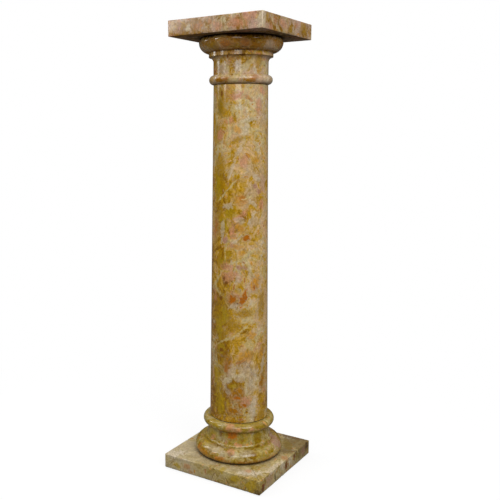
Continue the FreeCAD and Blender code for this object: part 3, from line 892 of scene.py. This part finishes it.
SHAFT_MARKS = [
    on_shaft(MUSTARD, 0.85, [
        (370, -98, 24, 40), (842, -102, 15, 34), (590, -108, 14, 34), (688, -106, 15, 46),
        (610, -84, 11, 16, 30), (490, -98, 11, 14), (352, -74, 18, 12, -20), (330, -98, 22, 14, -60),
        (236, -6, 8, 26), (764, -66, 18, 6, 24), (380, -46, 22, 10), (866, -110, 14, 12),
        (776, -111, 13, 24), (400, -92, 16, 24), (398, -9, 11, 34), (262, -92, 15, 14),
        (134, -10, 14, 14),
    ]),
    on_shaft(CITRON, 0.75, [
        (606, -80, 14, 10), (580, -92, 12, 18, 40), (648, -110, 10, 18), (515, -83, 8, 6),
        (491, -96, 9, 13), (519, -53, 5, 5), (574, -28, 5, 5), (350, -104, 10, 34), (222, -108, 13, 36),
        (165, -100, 20, 28), (375, -92, 10, 20), (210, -70, 10, 7), (664, -112, 9, 24),
        (292, -100, 12, 20),
    ]),
    on_shaft(GINGER, 1.1, [
        (186, -62, 14, 16), (216, -8, 8, 16), (166, -52, 15, 7), (188, -74, 8, 7), (256, -83, 9, 20),
        (150, -72, 12, 9), (440, -26, 8, 12),
    ], halo=0.15),
    on_shaft(OLIVE, 0.45, [(835, -108, 7, 28), (218, -80, 6, 4), (240, -96, 8, 8)]),
    on_shaft(ROSE, 0.75, [
        (869, -12, 12, 10), (858, -68, 18, 9, 12), (832, -20, 10, 16), (804, -82, 12, 8),
        (776, -106, 11, 14), (716, -53, 10, 14), (669, -8, 9, 18), (622, -12, 9, 12),
        (598, -58, 7, 24, -52), (566, -76, 6, 16, -8), (462, -80, 20, 12), (484, -88, 14, 9),
        (176, -46, 14, 12),
    ]),
    on_shaft(LILAC, 0.6, [
        (682, -10, 16, 26), (650, -36, 16, 24), (700, -38, 14, 16), (812, -8, 12, 26), (586, -30, 14, 12),
    ]),
    on_shaft(MAUVE, 0.75, [
        (482, -56, 13, 6), (545, -90, 6, 7), (530, -74, 8, 5), (664, -30, 6, 5), (652, -18, 7, 6),
    ]),
    on_shaft(PEARL, 0.52, [
        (788, -50, 10, 16, -25), (742, -63, 6, 26, -34), (704, -77, 4, 22, -22), (834, -64, 10, 8),
        (806, -40, 26, 5, 10), (680, -24, 15, 6, -30), (625, -34, 13, 5, -40), (592, -37, 4, 20, -30),
        (562, -98, 5, 24), (548, -60, 4, 18, -56), (455, -64, 8, 9), (470, -40, 4, 20),
        (436, -14, 4, 14, 20), (396, -72, 16, 6, 20), (250, -42, 20, 26, -8), (214, -34, 15, 28, -6),
        (236, -28, 10, 18, 0), (228, -58, 14, 10), (222, -84, 12, 9, 20), (620, -86, 14, 8, 10),
        (590, -58, 14, 8), (246, -72, 10, 22, -30), (206, -86, 22, 6, -60), (149, -31, 7, 34, -6),
        (262, -4, 6, 26, -16),
    ]),
    on_shaft(HONEY, 0.62, [
        (785, -68, 10, 7, -30), (719, -27, 12, 7), (329, -34, 12, 7), (530, -66, 14, 6), (516, -57, 7, 6),
        (572, -62, 15, 8, -30), (280, -48, 18, 12, 15), (635, -58, 14, 12), (284, -10, 9, 12),
    ], halo=0.2),
    on_shaft(HONEY, 0.85, [(446, -27, 11, 16, -8)], halo=0.55),
    on_shaft(RUST, 1.1, [
        (412, -75, 10, 11), (412, -53, 7, 17, -28), (549, -46, 7.5, 6, 30), (438, -29, 3, 6),
        (182, -62, 7, 5), (166, -47, 7, 4, -20),
    ], halo=0.35),
    on_shaft(RUST, 0.6, [
        (856, -66, 9, 4, 20), (852, -44, 4, 13, 60), (637, -54, 7, 7), (570, -118, 9, 26),
        (250, -86, 5, 12), (268, -58, 13, 3.5, 25),
    ], halo=0.2),
    on_shaft(BARK, 0.85, [
        (457, -93, 3.5, 7, -10), (447, -88, 7, 3.5, 30), (411, -99, 4.5, 4.5), (291, -98, 6, 5),
        (401, -64, 3, 3), (862, -104, 4, 10),
    ]),
    on_shaft(ASH, 0.75, [
        (655, -86, 2.4, 32, -42), (640, -42, 12, 2.4, 25), (318, -84, 30, 2.4, 26),
        (348, -48, 2.6, 28, -48), (330, -16, 2.6, 26, -28), (790, -84, 2.4, 26, 4),
        (516, -40, 16, 2.4, 30), (496, -66, 22, 2.4, 18),
    ]),
]


# ---------------------------------------------------- the stones

# Bores and recesses in the stones, in millimetres.
RECESS_RADIUS = 23.0
BORE_RADIUS = 9.5
FOOT_RECESS_DEPTH = 22.0
HEAD_RECESS_DEPTH = 24.0
SOCKET_RADIUS = 12.15
SOCKET_DEPTH = 21.0

# The least and the most wear of the two squares' arrises, and the seed of its noise.
PLINTH_ARRIS = (1.1 * MM, 3.2 * MM)
PLINTH_SEED = 4.0
SLAB_ARRIS = (0.8 * MM, 2.4 * MM)
SLAB_SEED = 9.0

# The base's profile: radii, and levels above its seat, in millimetres.
TORUS_FOOT_RADIUS = 95.0
TORUS_RADIUS = 102.3
TORUS_HEAD_RADIUS = 86.2
TORUS_BELLY_LEVEL = 11.3
TORUS_HEAD_LEVEL = 30.5
FILLET_RADIUS = 80.0
FILLET_HEAD_LEVEL = 31.5
COVE_FOOT_RADIUS = 75.5
COVE_FOOT_LEVEL = 37.5
COVE_RADIUS = 70.8
COLLAR_EDGE_RADIUS = 73.2
COLLAR_RADIUS = 83.2
COLLAR_FOOT_LEVEL = 65.5
COLLAR_HEAD_LEVEL = 86.0

# The shaft's profile.
SHAFT_FOOT_RADIUS = 67.7
SHAFT_HEAD_RADIUS = 60.4
SHAFT_ARRIS = 0.8

# The capital's profile.
NECK_RADIUS = 60.7
RING_RADIUS = 70.2
RING_HEAD_LEVEL = 20.0
NECK_HEAD_LEVEL = 47.8
BAND_RADIUS = 70.9
BAND_FOOT_LEVEL = 59.0
BAND_HEAD_LEVEL = 67.5
OVOLO_RADIUS = 92.5
OVOLO_BELLY_LEVEL = 90.0
OVOLO_HEAD_RADIUS = 90.5


def finish_piece(piece, body, slot, material, *nodes):
    """Give a piece its material, and let it stand for CAD nodes on a body."""
    piece.data.materials.append(material)
    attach(piece, body)
    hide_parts(*nodes)


def make_plinth():
    """The square foot stone, with the bore and the recess for the lower nut."""
    low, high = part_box("plinth")
    rings = sawn_rings(low, high, PLINTH_ARRIS, PLINTH_SEED)
    roof = low.z + FOOT_RECESS_DEPTH * MM
    rings.extend(round_rings(rings[0], [
        (BORE_RADIUS * MM, high.z),
        (BORE_RADIUS * MM, roof),
        (RECESS_RADIUS * MM, roof),
        (RECESS_RADIUS * MM, low.z),
    ]))
    piece = mesh_of_rings("plinth_stone", rings)
    stone = marble(
        "plinth_marble", block=(2.4, 1.7, 0.3), ground=PLINTH_GROUND, marks=PLINTH_MARKS,
        pale=0.4, blush=0.2, lift=0.02, contrast=0.55, lean=(-1.0, 0.3, 0.0),
    )
    finish_piece(piece, "column", "plinth_marble", stone, "plinth")


def make_base():
    """The turned base: a large torus, a fillet, a cove and a collar."""
    low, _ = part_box("base_moulding")
    corners = [
        corner(BORE_RADIUS, 0.0),
        corner(TORUS_FOOT_RADIUS, 0.0),
        corner(TORUS_RADIUS, TORUS_BELLY_LEVEL, HEAD),
        corner(TORUS_HEAD_RADIUS, TORUS_HEAD_LEVEL, FOOT),
        corner(FILLET_RADIUS, TORUS_HEAD_LEVEL),
        corner(FILLET_RADIUS, FILLET_HEAD_LEVEL),
        corner(COVE_FOOT_RADIUS, COVE_FOOT_LEVEL, FOOT),
        corner(COVE_RADIUS, COLLAR_FOOT_LEVEL, HEAD),
        corner(COLLAR_EDGE_RADIUS, COLLAR_FOOT_LEVEL),
        corner(COLLAR_RADIUS, (COLLAR_FOOT_LEVEL + COLLAR_HEAD_LEVEL) / 2, HEAD),
        corner(COLLAR_EDGE_RADIUS, COLLAR_HEAD_LEVEL, FOOT),
        corner(BORE_RADIUS, COLLAR_HEAD_LEVEL),
    ]
    piece = turn("base_stone", low.z, corners)
    stone = marble(
        "base_marble", block=(5.2, 0.4, 1.3), ground=BASE_GROUND, marks=BASE_MARKS,
        pale=0.2, blush=0.3, lift=-0.06, contrast=0.8,
    )
    finish_piece(piece, "column", "base_marble", stone, "base_moulding")


def make_shaft():
    """The tapered round shaft."""
    low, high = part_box("shaft")
    length = (high.z - low.z) / MM
    corners = [
        corner(BORE_RADIUS, 0.0),
        corner(SHAFT_FOOT_RADIUS - SHAFT_ARRIS, 0.0),
        corner(SHAFT_FOOT_RADIUS, SHAFT_ARRIS, HEAD),
        corner(SHAFT_HEAD_RADIUS, length - SHAFT_ARRIS),
        corner(SHAFT_HEAD_RADIUS - SHAFT_ARRIS, length, FOOT),
        corner(BORE_RADIUS, length),
    ]
    piece = turn("shaft_stone", low.z, corners)
    stone = marble(
        "shaft_marble", block=(0.0, 0.0, 0.0), ground=SHAFT_GROUND, marks=SHAFT_MARKS,
        pale=0.5, blush=0.55, lift=-0.22, contrast=1.0, lean=(3.2, 1.85, 0.5),
    )
    finish_piece(piece, "column", "shaft_marble", stone, "shaft")


def make_capital():
    """The turned capital: a ring, a flaring neck, a band and an ovolo."""
    low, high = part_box("capital")
    top = (high.z - low.z) / MM
    corners = [
        corner(BORE_RADIUS, 0.0),
        corner(NECK_RADIUS, 0.0),
        corner(RING_RADIUS, RING_HEAD_LEVEL / 2, HEAD),
        corner(NECK_RADIUS, RING_HEAD_LEVEL, FOOT),
        corner(NECK_RADIUS, NECK_HEAD_LEVEL),
        corner(BAND_RADIUS, BAND_FOOT_LEVEL, FOOT),
        corner(BAND_RADIUS, BAND_HEAD_LEVEL),
        corner(OVOLO_RADIUS, OVOLO_BELLY_LEVEL, HEAD),
        corner(OVOLO_HEAD_RADIUS, top, FOOT),
        corner(RECESS_RADIUS, top),
        corner(RECESS_RADIUS, top - HEAD_RECESS_DEPTH),
        corner(BORE_RADIUS, top - HEAD_RECESS_DEPTH),
    ]
    piece = turn("capital_stone", low.z, corners)
    stone = marble(
        "capital_marble", block=(8.1, 3.3, 2.2), ground=CAPITAL_GROUND, marks=CAPITAL_MARKS,
        pale=0.75, blush=0.8, lift=3.80, contrast=1.25, lean=(0.8, 0.4, -4.0),
    )
    finish_piece(piece, "column", "capital_marble", stone, "capital")


def make_slab():
    """The square top slab, with the blind socket for the pivot's bush."""
    low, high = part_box("top_slab")
    sawn = sawn_rings(low, high, SLAB_ARRIS, SLAB_SEED)
    socket = round_rings(sawn[0], [
        (SOCKET_RADIUS * MM, low.z + SOCKET_DEPTH * MM),
        (SOCKET_RADIUS * MM, low.z),
    ])
    piece = mesh_of_rings("slab_stone", socket + sawn, looped=False)
    stone = marble(
        "slab_marble", block=(1.3, 7.4, 4.1), ground=SLAB_GROUND, marks=SLAB_MARKS,
        pale=0.35, blush=0.9, lift=-0.06, contrast=1.5,
    )
    finish_piece(piece, "top", "slab_marble", stone, "top_slab")


# ------------------------------------------------------- the rod

ROD_SEGMENTS = 48
ROD_CHAMFER = 1.5
THREAD_PITCH = 1.75
THREAD_DEPTH = 1.07
THREAD_ROWS = 6
FOOT_THREAD = 32.0
HEAD_THREAD = 42.0


def rod_ring(radius, level, thread_depth):
    """One ring of the rod, in millimetres, cut by a thread of the given depth."""
    ring = []
    for index in range(ROD_SEGMENTS):
        share = index / ROD_SEGMENTS
        phase = (level / THREAD_PITCH - share) % 1.0
        drawn = radius - thread_depth * (1.0 - abs(2.0 * phase - 1.0))
        angle = 2 * math.pi * share
        ring.append(Vector((drawn * math.cos(angle), drawn * math.sin(angle), level)) * MM)
    return ring


def thread_rings(radius, low, high):
    """The rings of a threaded stretch, whose thread runs out at both its ends."""
    count = round((high - low) / THREAD_PITCH * THREAD_ROWS)
    rings = []
    for row in range(count + 1):
        run_out = min(1.0, row / THREAD_ROWS, (count - row) / THREAD_ROWS)
        level = low + (high - low) * row / count
        rings.append(rod_ring(radius, level, THREAD_DEPTH * run_out))
    return rings


def make_rod(material):
    """The steel rod with a thread at each end, as its own mesh."""
    low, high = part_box("tie_rod")
    radius = (high.x - low.x) / 2 / MM
    foot, head = low.z / MM, high.z / MM
    rings = [rod_ring(radius - ROD_CHAMFER, foot, 0.0)]
    rings += thread_rings(radius, foot + ROD_CHAMFER, foot + FOOT_THREAD)
    rings += thread_rings(radius, head - HEAD_THREAD, head - ROD_CHAMFER)
    rings.append(rod_ring(radius - ROD_CHAMFER, head, 0.0))
    piece = mesh_of_rings("threaded_rod", rings, looped=False)
    finish_piece(piece, "column", "zinc_steel", material, "tie_rod")


# -------------------------------- the pieces kept from the frame

KEPT_NODES = {
    "felt": ("base_felt",),
    "joint_disc": ("plinth_gasket", "base_gasket", "shaft_gasket"),
    "turned_brass": ("glide_ring", "pivot_bush"),
    "zinc_steel": (
        "lower_washer", "lower_spring_washer", "lower_nut",
        "upper_washer", "upper_spring_washer", "upper_nut",
    ),
    "bright_steel": ("pivot_sleeve",),
}


def small_finishes():
    """The materials of everything but the stones, by name."""
    return {
        "felt": felt(),
        "joint_disc": joint_disc(),
        "turned_brass": metal("turned_brass", BRASS, BRASS_STAIN, 0.18, 0.38, 400.0),
        "zinc_steel": metal("zinc_steel", ZINC, ZINC_STAIN, 0.28, 0.5, 60.0),
        "bright_steel": metal("bright_steel", STEEL, STEEL_STAIN, 0.15, 0.3, 300.0),
    }


def dress_kept_nodes(finishes):
    """Give the nodes that keep their CAD meshes their finished materials."""
    for finish, names in KEPT_NODES.items():
        for name in names:
            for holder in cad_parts[name].material_slots:
                holder.material = finishes[finish]


# ---------------------------------------------------- the studio

FLOOR_RADIUS = 12.0
FLOOR_SIDES = 96
FLOOR_TONE = (0.09, 0.09, 0.09, 1.0)
FLOOR_WHITE = (0.95, 0.95, 0.95, 1.0)
WHITE = (1.0, 1.0, 1.0, 1.0)

# How white the floor stays at the column's foot, and the distances from the axis
# at which it begins to grow whiter and is wholly white.
SHADOW_WHITE = 0.84
SHADOW_CORE = 0.15
SHADOW_REACH = 1.0

# The room's light at the skyline, how much less of it gloss shows, the light
# overhead, and how high a direction points where that light begins.
SKYLINE_LIGHT = 0.32
SKYLINE_GLOSS_DROP = 0.62
OVERHEAD_LIGHT = 0.95
OVERHEAD_HEIGHT = 0.8

# The share of the white background that gloss shows.
GLOSS_SHARE = 0.04

AIM = Vector((0.0, 0.0, 0.62))


def background_share(graph):
    """How much of the white background a ray sees: straight on, and straight on or in gloss.

    The polished stone in the photograph shows hardly any of the white round it.
    """
    path = graph.add("ShaderNodeLightPath").outputs
    clear = graph.math("MAXIMUM", path["Is Camera Ray"], path["Is Transmission Ray"])
    gloss = graph.times(path["Is Glossy Ray"], GLOSS_SHARE)
    return clear, graph.math("MAXIMUM", clear, gloss)


def floor_finish():
    """White to the camera, apart from a soft shadow near the column, and dim in gloss."""
    graph = new_material("floor")
    clear, seen = background_share(graph)
    tone = graph.mix(clear, FLOOR_TONE, FLOOR_WHITE)
    matt = graph.add("ShaderNodeBsdfDiffuse", {"Color": tone}).outputs[0]
    white = graph.add("ShaderNodeEmission", {"Strength": 1.0}).outputs[0]
    away = graph.vector("LENGTH", graph.here())["Value"]
    share = graph.times(seen, graph.step(away, SHADOW_CORE, SHADOW_REACH, SHADOW_WHITE, 1.0))
    choose = graph.add("ShaderNodeMixShader", {0: share, 1: matt, 2: white})
    return graph.surface("Material Output", choose.outputs[0])


def make_floor():
    """A plain floor that keeps a soft shadow."""
    bpy.ops.mesh.primitive_circle_add(
        vertices=FLOOR_SIDES, radius=FLOOR_RADIUS, fill_type="NGON"
    )
    floor = bpy.context.object
    floor.name = "floor"
    floor.data.materials.append(floor_finish())


def make_world():
    """An even room, lighter overhead than at the skyline, and white to the camera."""
    graph = Graph(bpy.data.worlds.new("studio"))
    bpy.context.scene.world = graph.owner
    direction = graph.add("ShaderNodeTexCoord").outputs["Generated"]
    height = graph.add("ShaderNodeSeparateXYZ", {0: direction}).outputs["Z"]
    gloss = graph.add("ShaderNodeLightPath").outputs["Is Glossy Ray"]
    skyline = graph.minus(SKYLINE_LIGHT, graph.times(gloss, SKYLINE_GLOSS_DROP))
    inputs = {0: height, 1: 0.0, 2: OVERHEAD_HEIGHT, 3: skyline, 4: OVERHEAD_LIGHT}
    strength = graph.add("ShaderNodeMapRange", inputs).outputs[0]
    strength = graph.math("MAXIMUM", strength, 0.0)
    room = graph.add("ShaderNodeBackground", {"Color": WHITE, "Strength": strength})
    white = graph.add("ShaderNodeBackground", {"Color": WHITE, "Strength": 1.0})
    _, seen = background_share(graph)
    inputs = {0: seen, 1: room.outputs[0], 2: white.outputs[0]}
    choose = graph.add("ShaderNodeMixShader", inputs)
    graph.surface("World Output", choose.outputs[0])


def make_lamp(name, swing, distance, height, width, tall, power):
    """A soft window of light, swung from the camera's bearing to its right."""
    data = bpy.data.lights.new(name, "AREA")
    data.shape = "RECTANGLE"
    data.size = width
    data.size_y = tall
    data.energy = power
    lamp = bpy.data.objects.new(name, data)
    bpy.context.scene.collection.objects.link(lamp)
    bearing = math.radians(CAMERA_BEARING + swing)
    lamp.location = (distance * math.sin(bearing), -distance * math.cos(bearing), height)
    lamp.rotation_euler = (AIM - lamp.location).to_track_quat("-Z", "Y").to_euler()


def make_lamps():
    """Four windows: a large one to the right, one near the camera, and two far left."""
    make_lamp("key_window", 30.0, 2.4, 1.98, width=1.5, tall=1.4, power=35.5)
    make_lamp("near_window", -10.0, 2.6, 1.53, width=1.2, tall=1.0, power=11.0)
    make_lamp("side_window", -69.0, 2.3, 1.57, width=0.36, tall=1.0, power=7.5)
    make_lamp("far_window", -108.0, 2.3, 1.58, width=0.40, tall=1.0, power=8.0)


bpy.context.scene.view_settings.view_transform = "Standard"
make_plinth()
make_base()
make_shaft()
make_capital()
make_slab()
finishes = small_finishes()
dress_kept_nodes(finishes)
make_rod(finishes["zinc_steel"])
make_floor()
make_world()
make_lamps()
make_camera()
